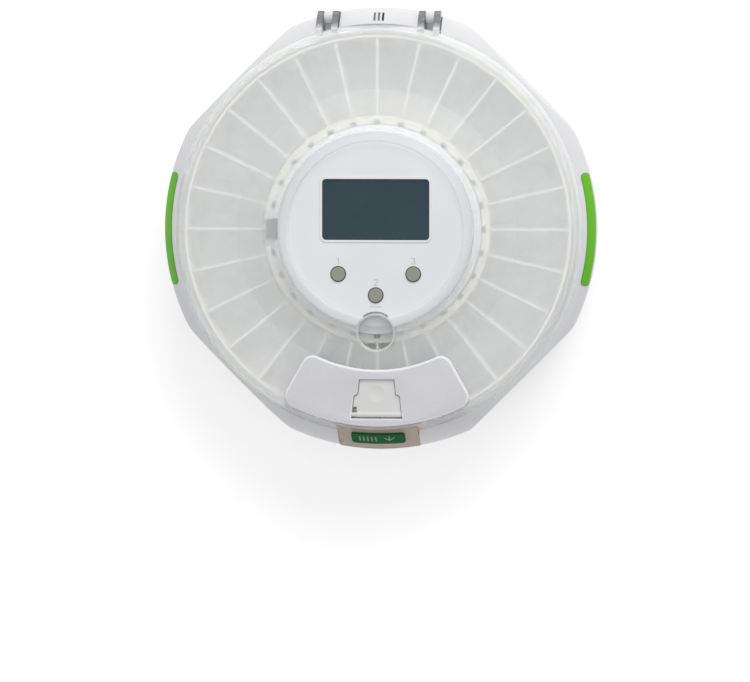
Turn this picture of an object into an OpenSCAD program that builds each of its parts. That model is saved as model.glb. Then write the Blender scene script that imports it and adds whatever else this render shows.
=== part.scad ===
// Automatic pill dispenser: a flat round case in which a tray with 28 compartments turns under a
// hinged see-through lid. A control hub with a display and three keys stands in the middle, and a
// geared motor in the hub turns the tray through an internal gear.
// Millimetres. The hinge side faces +Y, the outlet and the latch face -Y, and z = 0 is the plane
// that the feet stand on.

/* [Tray] */
// Number of compartments
compartments = 28; // [14:7:28]
// Outer radius of the tray
tray_r = 96.6; // [94:0.2:100]
// Wall of the tray
tray_wall = 1.4; // [1:0.1:2]
// Floor of the tray
tray_floor_t = 1.2; // [1:0.1:2]
// Depth of a compartment
tray_depth = 21.6; // [16:0.2:24]
// Thickness of a divider between two compartments
divider_t = 1.2; // [0.8:0.1:2]
// Width of the notched flange inside the inner wall
flange_w = 2.8; // [2:0.1:3.4]
// Gap between the hub and the notched flange
flange_gap = 4.2; // [3.6:0.1:5]
// Width of an index notch
notch_w = 3; // [2:0.1:3.6]
// Depth of an index notch
notch_depth = 1.9; // [1:0.1:2]
// Radius of the cove along the foot of the outer wall
cove_r = 4; // [2:0.5:6]

/* [Drive] */
// Module of the two gears
gear_module = 1.25; // [1.2:0.01:1.3]
// Teeth of the internal gear
ring_teeth = 80; // [79:1:81]
// Teeth of the drive pinion
pinion_teeth = 16; // [14:2:16]
// Face width of the teeth
gear_face = 4; // [3:0.1:4.2]
// Rim of the internal gear outside its teeth
gear_rim = 1.8; // [1.4:0.1:2.2]
// Width of the turntable outside the gear rim
turntable_w = 10; // [6:1:20]
// Thickness of the turntable's plate
turntable_t = 1.4; // [1.2:0.1:2]
// Diameter of the motor's shaft
shaft_d = 3; // [2:0.1:4]
// Size of the geared motor across the case's radius
motor_d = 10; // [9:0.2:10.4]
// Size of the geared motor around the case
motor_w = 12; // [10:0.5:14]
// Height of the geared motor
motor_h = 17.4; // [14:0.2:17.8]

/* [Case] */
// How far the left and right lobes stand out beyond the lid
side_overhang = 6; // [4:0.25:7]
// How far the front and back lobes stand out beyond the lid
end_overhang = 8.25; // [7.5:0.25:9]
// How far the four corner flats stand out beyond the lid
flat_overhang = 1; // [0.5:0.25:2]
// Radius that blends a lobe into a flat
corner_r = 21; // [10:1:30]
// Height of the widest line of the case
waist_z = 24; // [22:0.5:26]
// Radius of the case at its underside
base_r = 99; // [96:0.5:100]
// Bevel around the underside
base_bevel = 1.6; // [1:0.2:2.4]
// Wall of the case
case_wall = 2.2; // [1.8:0.1:2.6]
// Width of the rim that the lid closes on
rim_w = 1.5; // [1.2:0.1:3]
// Height of the underside of the deck that carries the tray
deck_z = 16; // [15.6:0.1:16.6]
// Thickness of the deck
deck_t = 2; // [1.6:0.1:2.4]
// Wall of the well around the tray
well_wall = 1.6; // [1.2:0.1:2]
// Gap between the tray and the well
well_gap = 2.1; // [1.6:0.1:3]
// Radius of the screw bosses under the deck
boss_r = 3.6; // [3:0.1:5]
// Distance of the screw bosses from the middle
boss_reach = 80; // [70:1:84]

/* [Underside] */
// Height of the feet below the cover
foot_h = 2; // [1.5:0.1:3]
// Diameter of a foot
foot_d = 13; // [10:0.5:16]
// Distance of the feet from the middle
foot_reach = 84; // [78:1:88]
// How deep a foot sits in its recess
foot_sink = 0.8; // [0.5:0.1:1.2]
// Thickness of the bottom cover
cover_t = 2.2; // [2:0.1:3]
// Thickness of the battery door
door_t = 1.8; // [1.4:0.1:2]
// Diameter of a battery cell
cell_d = 14.5; // [13.8:0.1:14.5]
// Length of a battery cell
cell_l = 50.5; // [49:0.1:50.5]
// Wall of the battery box
box_wall = 1.3; // [1:0.1:1.6]
// Major diameter of the case screws
screw_d = 2.9; // [2.5:0.1:3.5]

/* [Lid] */
// Wall of the lid
lid_wall = 1.8; // [1.4:0.1:2.2]
// Gap between the tray's top and the lid
lid_gap = 0.5; // [0.4:0.1:1]
// Height of the lid's sloping edge
skirt_h = 6.7; // [5:0.1:8]
// How far the sloping edge leans in
skirt_lean = 2.7; // [2:0.1:4]
// Radius of the crease where the lid starts to rise to the hub
crease_r = 69.7; // [66:0.1:69.7]
// Rise of the lid from the crease to the collar
lid_rise = 3.7; // [3.7:0.1:5]
// Distance of each hinge from the middle plane
hinge_reach = 25.4; // [20:0.1:32]
// Width of a hinge pocket in the case
pocket_w = 11.6; // [10:0.1:14]
// Width of the case's lug between two ears of the lid
lug_w = 4.2; // [3:0.1:5]
// Distance of the hinge pins from the middle
pin_y = 105.3; // [105:0.1:106]
// Height of the hinge pins
pin_z = 32; // [31:0.1:33]
// Diameter of a hinge pin
pin_d = 3; // [2:0.1:3.4]
// Radius of the hinge ears
ear_r = 3.2; // [2.8:0.1:3.6]

/* [Outlet] */
// Inner radius of the outlet plate
plate_r = 69.7; // [69.7:0.1:72]
// Gap between the outlet plate's outer edge and the lid's edge
plate_margin = 0.7; // [0.5:0.1:3]
// Half angle that the outlet plate spans
plate_half = 29.5; // [20:0.5:40]
// Corner radius of the outlet plate
plate_corner = 6; // [3:0.5:8]
// Thickness of the outlet plate
plate_t = 1.5; // [1.2:0.1:2]
// Distance of the outlet's inner edge from the middle
outlet_in = 74.5; // [74:0.1:76]
// Distance of the outlet's outer edge from the middle
outlet_out = 94; // [92:0.1:95]
// Half width of the outlet at its inner edge
outlet_half_in = 8.8; // [7:0.1:10]
// Half width of the outlet at its outer edge
outlet_half_out = 12.8; // [11:0.1:14]
// Distance of the step in the outlet's sides from the middle
outlet_step = 81.8; // [79:0.1:86]
// Width of that step
step_w = 1.9; // [1:0.1:2.4]
// Thickness of the flap
flap_t = 1.4; // [1.2:0.1:1.8]
// Diameter of the flap's pivots
pivot_d = 2; // [1.6:0.1:2.2]

/* [Window] */
// Distance of the round window from the middle
window_reach = 51; // [50:0.1:52]
// Radius of the clear window
window_r = 8.7; // [7:0.1:9]
// Width of the window's white rim
window_rim = 1.1; // [0.8:0.1:1.4]
// Thickness of the window's rim
window_t = 3; // [2.4:0.1:3]

/* [Hub] */
// Gap between the hub and the tips of the internal gear
hub_gap = 1; // [0.8:0.1:1.4]
// Wall of the hub
hub_wall = 2; // [1.6:0.1:2.4]
// Height of the hub's shoulder
hub_z = 46.2; // [46:0.1:46.4]
// Height of the control panel's top face
panel_z = 49.6; // [49.4:0.1:49.8]
// Radius of the control panel
panel_r = 45.2; // [44.6:0.1:45.2]
// Thickness of the control panel
panel_t = 2; // [1.6:0.1:2.2]
// Gap between the control panel and the wall of the collar
panel_gap = 0.7; // [0.6:0.1:0.9]
// Inner radius of the collar ring, whose lip hides the panel's edge
collar_r = 43.5; // [43:0.1:43.8]
// Width of the collar ring
collar_w = 5.3; // [5.3:0.1:5.8]
// How far the collar stands above the panel
collar_lift = 2.9; // [2.6:0.1:3.2]
// Width of the display window
display_w = 53.2; // [46:0.2:54]
// Height of the display window in the plan
display_h = 30; // [26:0.2:31]
// Distance of the display's middle behind the hub's middle
display_y = 10; // [9:0.5:11]
// Diameter of a key
key_d = 7; // [6:0.1:7.4]
// Travel of a key
key_travel = 0.8; // [0.4:0.1:0.9]
// Height of a key above the panel
key_proud = 1; // [0.9:0.1:1.4]
// Distance of the outer keys from the middle plane
key_x = 18.7; // [15:0.1:20]
// Distance of the outer keys in front of the hub's middle
key_y = 22; // [19:0.1:23]
// Distance of the middle key in front of the hub's middle
key_mid_y = 32.5; // [31:0.1:33]
// Width of the tray catch
catch_w = 9.7; // [8:0.1:11]
// Travel of the tray catch
catch_travel = 4.4; // [4.2:0.1:4.6]

/* [Latch] */
// Width of the latch notch in the case
notch_front_w = 40.6; // [34:0.2:44]
// Thickness of the latch tongue
tongue_t = 2; // [1.6:0.1:2.4]
// Width of the press pad
pad_w = 26.8; // [20:0.2:30]
// Height of the press pad along the tongue
pad_h = 9.2; // [6:0.2:9.4]
// Thickness of the press pad
pad_t = 0.9; // [0.5:0.1:1.2]
// Round of the lid's sloping edge beside the latch
edge_round = 3; // [1:0.5:4]

/* [Trim] */
// Width of a trim strip in the plan
trim_w = 3.8; // [3:0.1:4.2]
// Half angle that a trim strip spans
trim_half = 14.2; // [10:0.2:16]
// How far a trim strip stands proud of the case
trim_proud = 0.3; // [0.2:0.1:0.6]
// Depth of the trim groove
trim_depth = 1.1; // [0.8:0.1:1.4]
// Height of a trim strip's lower edge above the case's widest line
trim_low = 4.5; // [2:0.1:6]

/* [Hidden] */
$fn = 96;

// Clearances
slide_gap = 0.3;     // between pieces that move past each other
seat_gap = 0.1;      // between pieces that sit on or in each other
shaft_gap = 0.05;    // radial play of a shaft in its bore
over = 1;            // how far a cutter runs past the face it cuts
far = 150;           // beyond the whole object

// Gears and hub, from the inside out
addendum = 0.8 * gear_module;
dedendum = 1.1 * gear_module;
ring_pitch_r = gear_module * ring_teeth / 2;
pinion_pitch_r = gear_module * pinion_teeth / 2;
pinion_x = ring_pitch_r - pinion_pitch_r;
tooth_half = 0.63 * gear_module;    // half width of a tooth at its pitch circle, with backlash
flank_slope = tan(20);
hub_r = ring_pitch_r - addendum - hub_gap;
hub_bore_r = hub_r - hub_wall;
gear_rim_r = ring_pitch_r + dedendum + gear_rim;
turntable_r = gear_rim_r + turntable_w;
flange_r = hub_r + flange_gap;
inner_wall_r = flange_r + flange_w;
compartment_r = inner_wall_r + tray_wall;

// Case, from the tray outwards
well_r = tray_r + well_gap;
well_outer_r = well_r + well_wall;
rim_hole_r = well_outer_r + seat_gap;
lid_r = rim_hole_r + rim_w + 0.1;
side_lobe_r = lid_r + side_overhang;
end_lobe_r = lid_r + end_overhang;
flat_distance = lid_r + flat_overhang;

// Heights, from the table upwards
cover_top = foot_h + cover_t;
deck_top = deck_z + deck_t;
turntable_z = deck_top + 0.2;
turntable_top = turntable_z + turntable_t;
tray_z = turntable_top + seat_gap;
tray_floor_top = tray_z + tray_floor_t;
tray_top = tray_floor_top + tray_depth;
lid_under = tray_top + lid_gap;
lid_top = lid_under + lid_wall;
skirt_z = lid_top - skirt_h;
rim_z = skirt_z - slide_gap;
collar_z = panel_z + collar_lift;
motor_z = turntable_top + gear_face + 1;

// Shoulder of the case: an arc from the rim down to the waist, upright at the waist
shoulder_h = rim_z - waist_z;
shoulder_r = (end_overhang * end_overhang + shoulder_h * shoulder_h) / (2 * end_overhang);
shoulder_x = end_lobe_r - shoulder_r;
outline_slack = 0.5;    // the outline passes outside the front and back lobes
pocket_z = pin_z - ear_r - 1.2;
pocket_wall = 1.5;
mark_w = 1.05;
mark_l = 4;

// Lid
skirt_top_r = lid_r - skirt_lean;
collar_bore_r = panel_r + panel_gap;
lid_hole_r = collar_r + collar_w - 1.2;
cone_slope = lid_rise / (crease_r - lid_hole_r);
cone_angle = atan(cone_slope);
function cone_top(r) = lid_top + (crease_r - r) * cone_slope;
ear_gap = 0.2;
ear_w = (pocket_w - lug_w) / 2 - 3 * ear_gap;
ear_bite = 1.3387;
ear_out_x = hinge_reach + lug_w / 2 + ear_gap + ear_w;
ear_root = sqrt(lid_r * lid_r - ear_out_x * ear_out_x) - ear_bite;
lid_rib_x = hinge_reach + 4;
lid_rib_t = 0.9;
lid_rib_l = 16.5;
lid_rib_end = sqrt(pow(skirt_top_r - 6, 2) - lid_rib_x * lid_rib_x);

// Compartments
pitch_angle = 360 / compartments;

// Battery box
cells = 4;
box_x = cell_l + 3;
box_y = cells * (cell_d + 0.2) + 0.4;
cell_z = foot_h + door_t + slide_gap + cell_d / 2 + 0.6;
box_top = cell_z + cell_d / 2 + 0.4 + box_wall;
door_x = box_x - 1;
door_y = box_y - 1;
door_ledge = 2.4;
door_seat = foot_h + door_t + slide_gap;
clip_t = 1.2;

// Underside
cover_r = base_r - base_bevel - case_wall - seat_gap;
boss_angles = [for (k = [0:5]) 30 + 60 * k];
foot_angles = [for (k = [0:3]) 45 + 90 * k];
screw_head_d = 2 * screw_d;
screw_l = 9;
rib_t = 1.2;

// Hub interior
board_t = 1.6;
hub_shoulder_t = 2;
board_top = hub_z - hub_shoulder_t - 0.2;
hub_opening_r = 39.9;
hub_foot_w = 5;
hub_foot_t = 1.5;
hub_screw_reach = hub_bore_r - 3.4;
bite_r = window_r + window_rim + 2 * slide_gap;
sensor_z = board_top - board_t;
sensor_w = 6.8;
sensor_h = 4;
sensor_angle = 90 + 2 * pitch_angle;
buzzer_y = 26;
buzzer_h = 4.95;
drive_lug_w = 6;
drive_lug_l = turntable_w - 5;
drive_lug_reach = gear_rim_r + turntable_w / 2 + 1;
display_lens_t = 1.4;
display_sink = 0.5;
display_corner = 1.8;
key_flange_t = 1.2;
key_gap = 0.45;
key_places = [[-key_x, -key_y], [0, -key_mid_y], [key_x, -key_y]];
catch_z = tray_top + slide_gap;
catch_out = inner_wall_r + 0.4;
catch_in = hub_r - 9;
catch_top = cone_top(catch_out) - lid_wall - 0.6;
catch_ridge = 0.2;

// Outlet
pivot_y = outlet_out - 2;
pivot_z = lid_top + plate_t - 1.9;
flap_z = pivot_z - 0.9;
chute_wall = 1.4;
outlet_flare = (outlet_half_out - outlet_half_in - step_w) / (outlet_out - outlet_in);

// Latch
tongue_w = notch_front_w - 2 * slide_gap;
tongue_top_r = skirt_top_r + 1.1;
tongue_top_z = lid_under - 0.1;
latch_floor_z = waist_z + 0.6;
tongue_foot_z = latch_floor_z + 1;
tongue_foot_h = 2.4;
tongue_run = end_lobe_r - tongue_top_r;
tongue_rise = tongue_top_z - tongue_foot_z - tongue_foot_h;
pad_place = 0.37;       // how far down the tongue the pad's middle lies

// -------------------------------------------------------------------------------- plan shapes

// Angle between a flat's normal and the point where the corner arc meets the lobe
function lean(lobe_r) = acos((flat_distance - corner_r) / (lobe_r - corner_r));

// A pie slice about +X, whose half angle stays under 90 degrees
module pie(r, half) {
    intersection() {
        circle(r = r);
        polygon([[0, 0], [2 * r * cos(half), -2 * r * sin(half)], [3 * r, 0],
                 [2 * r * cos(half), 2 * r * sin(half)]]);
    }
}

// A slice of a ring about +X
module ring_slice(r_in, r_out, half) {
    difference() {
        pie(r_out, half);
        circle(r = r_in);
    }
}

module ring(r_in, r_out) {
    difference() {
        circle(r = r_out);
        circle(r = r_in);
    }
}

// A tube between two heights
module tube(r_in, r_out, z0, z1) {
    translate([0, 0, z0]) linear_extrude(z1 - z0) ring(r_in, r_out);
}

// A box that is centred in the plan
module block(x, y, z0, z1, at = [0, 0]) {
    translate([at[0] - x / 2, at[1] - y / 2, z0]) cube([x, y, z1 - z0]);
}

// A rectangle with round corners
module round_rect(x, y, r) {
    for (sx = [-1, 1], sy = [-1, 1]) translate([sx * (x / 2 - r), sy * (y / 2 - r)]) circle(r = r);
    square([x, y - 2 * r], center = true);
    square([x - 2 * r, y], center = true);
}

// The case's outline: two pairs of lobes and four flats, blended by corner arcs
module case_outline(grow) {
    end_r = end_lobe_r + outline_slack;
    side_lean = lean(side_lobe_r);
    end_lean = lean(end_r);
    side_reach = side_lobe_r - corner_r;
    end_reach = end_r - corner_r;
    side_run = side_reach * sin(side_lean);
    end_run = end_reach * sin(end_lean);
    for (a = [0, 180]) rotate(a) pie(side_lobe_r + grow, 45 - side_lean);
    for (a = [90, 270]) rotate(a) pie(end_r + grow, 45 - end_lean);
    for (sx = [-1, 1], sy = [-1, 1]) {
        translate([sx * side_reach * cos(45 - side_lean), sy * side_reach * sin(45 - side_lean)])
            circle(r = corner_r + grow);
        translate([sx * end_reach * sin(45 - end_lean), sy * end_reach * cos(45 - end_lean)])
            circle(r = corner_r + grow);
    }
    for (k = [0:3]) rotate(45 + 90 * k)
        polygon([[0, 0],
                 [flat_distance + grow, k % 2 == 0 ? -side_run : -end_run],
                 [flat_distance + grow, k % 2 == 0 ? end_run : side_run]]);
    circle(r = flat_distance - corner_r);
}

// The outlet plate's outline about +X: a slice of a ring with round corners
module plate_outline(r_in, r_out, half, corner) {
    in_c = r_in + corner;
    out_c = r_out - corner;
    in_turn = asin(corner / in_c);
    out_turn = asin(corner / out_c);
    middle = (r_in + r_out) / 2;
    ring_slice(r_in, middle + 0.1, half - in_turn);
    ring_slice(middle - 0.1, r_out, half - out_turn);
    ring_slice(sqrt(in_c * in_c - corner * corner), sqrt(out_c * out_c - corner * corner), half);
    for (s = [-1, 1]) {
        rotate(s * (half - in_turn)) translate([in_c, 0]) circle(r = corner);
        rotate(s * (half - out_turn)) translate([out_c, 0]) circle(r = corner);
    }
}

// A trim strip's outline about +X: an arc with round ends
module trim_outline(grow) {
    middle = side_lobe_r - trim_w / 2;
    ring_slice(middle - trim_w / 2 - grow, middle + trim_w / 2 + grow, trim_half);
    for (s = [-1, 1]) rotate(s * trim_half) translate([middle, 0]) circle(r = trim_w / 2 + grow);
}

// The keystone outlet, as a closed outline with a step in its sides
module keystone(grow) {
    step_half = outlet_half_in + outlet_flare * (outlet_step - outlet_in);
    right = [
        [outlet_half_in + grow, -outlet_in + grow],
        [step_half + grow, -outlet_step + grow],
        [step_half + step_w + grow, -outlet_step - 0.8 + grow],
        [outlet_half_out + grow, -outlet_out - grow]
    ];
    polygon([for (p = right) p, for (k = [3:-1:0]) [-right[k][0], right[k][1]]]);
}

// ------------------------------------------------------------------------------- gear outlines

// Half angle of a tooth at radius r: it thins away from its own body
function tooth_angle(pitch_r, r, away) =
    (tooth_half - away * (r - pitch_r) * flank_slope) / r * 180 / PI;

// Points of one tooth: foot, tip, tip, foot
function tooth(pitch_r, foot_r, tip_r, away, at) = [
    for (p = [[foot_r, -1], [tip_r, -1], [tip_r, 1], [foot_r, 1]])
        let (a = at + p[1] * tooth_angle(pitch_r, p[0], away))
        [p[0] * cos(a), p[0] * sin(a)]
];

module pinion_outline() {
    polygon([for (k = [0:pinion_teeth - 1])
        each tooth(pinion_pitch_r, pinion_pitch_r - dedendum, pinion_pitch_r + addendum, 1,
                   k * 360 / pinion_teeth)]);
}

// The bore of the internal gear: its teeth point inwards, with a gap between two at +X
module ring_gear_bore() {
    polygon([for (k = [0:ring_teeth - 1])
        each tooth(ring_pitch_r, ring_pitch_r + dedendum, ring_pitch_r - addendum, -1,
                   (k + 0.5) * 360 / ring_teeth)]);
}

// --------------------------------------------------------------------------------- case pieces

// Half section of the case, with its skin moved in by inset and its top at height top
module case_section(inset, top) {
    rise = top - waist_z;
    top_r = shoulder_x + sqrt(pow(shoulder_r - inset, 2) - rise * rise);
    polygon([[0, foot_h], [base_r - base_bevel - inset, foot_h], [base_r - inset, foot_h + base_bevel],
             [end_lobe_r - inset, waist_z], [top_r, top], [0, top]]);
    intersection() {
        translate([shoulder_x, waist_z]) circle(r = shoulder_r - inset);
        translate([shoulder_x, waist_z]) square([shoulder_r, rise]);
    }
}

// The case as a filled solid
module case_solid(inset, top) {
    intersection() {
        rotate_extrude() case_section(inset, top);
        linear_extrude(far) case_outline(-inset);
    }
}

// Space that the latch tongue hangs in
module latch_space(grow, floor_z) {
    translate([-notch_front_w / 2 - grow, -far, floor_z - grow])
        cube([notch_front_w + 2 * grow, far - well_outer_r + 4, far]);
}

// Spaces of the two hinge pockets
module hinge_spaces(grow) {
    for (s = [-1, 1])
        translate([s * hinge_reach - pocket_w / 2 - grow, well_r - 10, pocket_z - grow])
            cube([pocket_w + 2 * grow, far, far]);
}

// The skin of the case, from deep inside it to proud above it
module skin(deep, proud) {
    difference() {
        case_solid(-proud, rim_z + proud);
        case_solid(deep, rim_z - deep);
    }
}

// The skin over a trim strip's outline
module trim_band(side, deep, proud, grow) {
    intersection() {
        skin(deep, proud);
        rotate(side > 0 ? 0 : 180) linear_extrude(far) trim_outline(grow);
        translate([0, 0, waist_z + trim_low - grow]) cylinder(r = side_lobe_r + over, h = far);
    }
}

module outer_shell() {
    color("whitesmoke") {
        difference() {
            case_solid(0, rim_z);
            difference() {
                case_solid(case_wall, rim_z - case_wall);
                hinge_spaces(pocket_wall);
                latch_space(pocket_wall, latch_floor_z);
            }
            cylinder(r = cover_r + seat_gap, h = cover_top);
            // The rim around the well, above the pockets' floors
            cylinder(r = rim_hole_r, h = far);
            hinge_spaces(0);
            latch_space(0, latch_floor_z);
            for (s = [-1, 1]) trim_band(s, trim_depth, over, seat_gap);
            // Three short bars between the hinges
            intersection() {
                skin(0.5, over);
                for (k = [-1:1]) block(mark_w, mark_l, waist_z, far,
                                       [k * 2 * mark_w, end_lobe_r - 4.8]);
            }
        }
        for (s = [-1, 1]) translate([s * hinge_reach, 0, 0]) hinge_lug();
    }
}

// The case's lug between the two ears of the lid
module hinge_lug() {
    lug_r = ear_r - 0.4;
    difference() {
        intersection() {
            translate([-lug_w / 2, 0, 0]) rotate([90, 0, 90]) linear_extrude(lug_w) {
                translate([pin_y, pin_z]) circle(r = lug_r);
                polygon([[pin_y - ear_r, pocket_z - 1], [pin_y - lug_r, pin_z],
                         [pin_y + lug_r, pin_z], [pin_y + ear_r, pocket_z - 1]]);
            }
            cylinder(r = end_lobe_r - 0.6, h = far);
        }
        translate([-far / 2, pin_y, pin_z]) rotate([0, 90, 0]) cylinder(d = pin_d, h = far);
    }
}

module trim_strip(side) {
    color("limegreen") trim_band(side, trim_depth - seat_gap, trim_proud, 0);
}

module trim_strip_left() {
    trim_strip(-1);
}

module trim_strip_right() {
    trim_strip(1);
}

module tray_well() {
    color("white") difference() {
        union() {
            tube(hub_r + seat_gap, well_outer_r, deck_z, deck_top);
            tube(well_r, well_outer_r, deck_top - 0.5, rim_z);
            for (a = boss_angles) rotate(a) translate([boss_reach, 0, cover_top + seat_gap])
                cylinder(r = boss_r, h = deck_z - cover_top);
            // Rib from each boss to the well's edge
            for (a = boss_angles) rotate(a) translate([boss_reach, -rib_t / 2, deck_z - 6])
                cube([well_outer_r - boss_reach - over, rib_t, 6 + deck_t / 2]);
        }
        for (a = boss_angles) rotate(a) translate([boss_reach, 0, 0])
            cylinder(d = screw_d + seat_gap, h = deck_z - 1);
        // The wall is lower behind the latch tongue
        latch_space(slide_gap, rim_z - 3);
    }
}

module cell_row() {
    for (k = [0:cells - 1]) translate([0, (k - (cells - 1) / 2) * (cell_d + 0.2), cell_z]) children();
}

module bottom_cover() {
    color("gainsboro") difference() {
        union() {
            translate([0, 0, foot_h]) cylinder(r = cover_r, h = cover_t);
            // Stiffening ring inside the case's foot
            tube(cover_r - 3, cover_r - 1.4, cover_top - 0.2, cover_top + 3);
            block(box_x + 2 * box_wall, box_y + 2 * box_wall, cover_top - 0.2, box_top);
        }
        block(box_x, box_y, door_seat, box_top - box_wall);
        block(door_x - 2 * door_ledge, door_y - 2 * door_ledge, 0, door_seat + over);
        block(door_x + 2 * slide_gap, door_y + 2 * slide_gap, 0, door_seat);
        for (a = boss_angles) rotate(a) translate([boss_reach, 0, 0]) {
            cylinder(d = screw_d + 0.4, h = far);
            cylinder(d = screw_head_d + 0.4, h = foot_h + cover_t / 2);
        }
        for (a = foot_angles) rotate(a) translate([foot_reach, 0, 0])
            cylinder(d = foot_d + 2 * seat_gap, h = foot_h + foot_sink);
        // Sound slots
        for (k = [-2:2]) block(1.6, 12 - abs(k), 0, far, [k * 3.4, -(box_y / 2 + 14)]);
    }
}

module battery_door() {
    color("gainsboro") difference() {
        union() {
            block(door_x, door_y, foot_h, foot_h + door_t);
            // Two spring clips that hold the door in the cover
            for (s = [-1, 1]) block(9, clip_t, foot_h + door_t - 0.1, cover_top + 0.9,
                                    [s * 14, door_y / 2 - door_ledge - slide_gap - clip_t / 2]);
        }
        // Finger grooves
        for (k = [-2:2]) block(16, 1, 0, foot_h + 0.5, [0, -door_y / 2 + 10 + 2.4 * k]);
    }
}

module rubber_feet() {
    color("dimgray") for (a = foot_angles) rotate(a) translate([foot_reach, 0, 0]) difference() {
        cylinder(d = foot_d, h = foot_h + foot_sink);
        translate([0, 0, -over]) cylinder(d = foot_d / 2, h = over + 0.5);
    }
}

module case_screws() {
    head_top = foot_h + cover_t / 2;
    color("silver") for (a = boss_angles) rotate(a) translate([boss_reach, 0, 0]) difference() {
        union() {
            translate([0, 0, head_top - 0.9]) cylinder(d = screw_head_d, h = 0.9);
            translate([0, 0, head_top - 0.1]) cylinder(d = screw_d, h = screw_l);
        }
        for (t = [0, 90]) rotate(t) block(screw_d * 1.1, 0.6, 0, head_top - 0.4);
    }
}

module battery_cells() {
    color("darkseagreen") cell_row() rotate([0, 90, 0]) {
        translate([0, 0, -cell_l / 2]) cylinder(d = cell_d, h = cell_l - 1.2);
        translate([0, 0, cell_l / 2 - 1.3]) cylinder(d = 0.38 * cell_d, h = 1.3);
    }
}

module battery_contacts() {
    color("goldenrod") for (s = [-1, 1]) cell_row() {
        translate([s * (box_x / 2 - 0.25), 0, 0]) cube([0.4, 0.72 * cell_d, 0.55 * cell_d], center = true);
        translate([s * (box_x / 2 - 0.4) - (s > 0 ? 0.9 : 0), 0, 0]) rotate([0, 90, 0])
            cylinder(d = 0.34 * cell_d, h = 0.9);
    }
}

// ---------------------------------------------------------------------------------- hub pieces

// The vertical cylinder below the round window that the panel leaves free
module window_bite(grow) {
    translate([0, -window_reach, 0]) cylinder(r = bite_r + grow, h = far);
}

module hub_housing() {
    color("white") difference() {
        union() {
            tube(hub_bore_r, hub_r, deck_z - hub_foot_t, hub_z);
            // Foot flange under the deck
            tube(hub_bore_r, hub_r + hub_foot_w, deck_z - hub_foot_t, deck_z);
            // Shoulder that the panel stands on
            tube(hub_opening_r, hub_r, hub_z - hub_shoulder_t, hub_z);
            // Cradle that holds the motor against the hub's wall
            intersection() {
                block(motor_d + 6, motor_w + 4, motor_z + 0.4, motor_z + 7, [pinion_x, 0]);
                cylinder(r = hub_bore_r + 0.5, h = far);
            }
        }
        block(motor_d + 2 * seat_gap, motor_w + 2 * seat_gap, motor_z, far, [pinion_x, 0]);
        // Window in the wall that the pinion reaches through
        intersection() {
            block(hub_wall + 8, far, turntable_top - slide_gap, motor_z + 0.2, [hub_r, 0]);
            translate([pinion_x, 0, 0]) cylinder(r = pinion_pitch_r + addendum + 2 * slide_gap, h = far);
        }
        // Slot for the tray catch
        block(30, catch_w + 2 * slide_gap, catch_z - slide_gap, catch_top + catch_ridge + slide_gap,
              [-hub_r, 0]);
        // Slot for the index sensor's nose
        rotate(sensor_angle) block(12, sensor_w + 2 * slide_gap, sensor_z - sensor_h - slide_gap,
                                   sensor_z + slide_gap, [hub_r, 0]);
        for (a = foot_angles) rotate(a) translate([hub_screw_reach, 0, hub_z - hub_shoulder_t - over])
            cylinder(d = 1.6, h = hub_shoulder_t);
    }
}

module board_screws() {
    color("silver") for (a = foot_angles) rotate(a)
        translate([hub_screw_reach, 0, board_top - board_t]) {
            translate([0, 0, -1]) cylinder(d = 3.4, h = 1);
            translate([0, 0, -0.1]) cylinder(d = 1.5, h = board_t + 1.2);
        }
}

module circuit_board() {
    color("seagreen") difference() {
        translate([0, 0, board_top - board_t]) cylinder(r = hub_bore_r - 0.4, h = board_t);
        for (a = foot_angles) rotate(a) translate([hub_screw_reach, 0, 0]) cylinder(d = 1.7, h = far);
        // Notch that the tray catch slides into
        block(2 * (hub_r - catch_in + catch_travel + 2 * slide_gap), catch_w + 4 * slide_gap, 0, far,
              [-hub_r, 0]);
    }
}

module display_module() {
    color("darkslategray") {
        block(display_w + 3, display_h + 3, board_top, board_top + 3, [0, display_y]);
        block(display_w - 2, display_h - 2, board_top + 2.9, panel_z - panel_t - 0.1, [0, display_y]);
    }
}

module button_membrane() {
    color("gray") {
        intersection() {
            block(2 * key_x + 1.6 * key_d, key_mid_y - key_y + 1.7 * key_d, board_top, board_top + 0.6,
                  [0, -(key_y + key_mid_y) / 2]);
            cylinder(r = hub_opening_r - slide_gap, h = far);
        }
        for (p = key_places) translate([p[0], p[1], board_top + 0.5]) cylinder(r = 2.8, h = 0.4);
    }
}

// One key: a cap with a bevelled edge, a stem and a retaining flange
module key(place) {
    top = panel_z + key_proud;
    flange_top = panel_z - panel_t - key_gap;
    stem_z = board_top + 0.9 + key_travel + 0.15;
    color("darkgray") translate([place[0], place[1], 0]) {
        translate([0, 0, top - 0.5]) cylinder(r1 = key_d / 2, r2 = key_d / 2 - 0.4, h = 0.5);
        translate([0, 0, flange_top - key_flange_t]) {
            cylinder(d = key_d, h = top - 0.5 - flange_top + key_flange_t);
            cylinder(d = key_d + 2.4, h = key_flange_t);
        }
        translate([0, 0, stem_z]) cylinder(d = 4, h = flange_top - stem_z);
    }
}

module button_left() {
    key(key_places[0]);
}

module button_middle() {
    key(key_places[1]);
}

module button_right() {
    key(key_places[2]);
}

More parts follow.
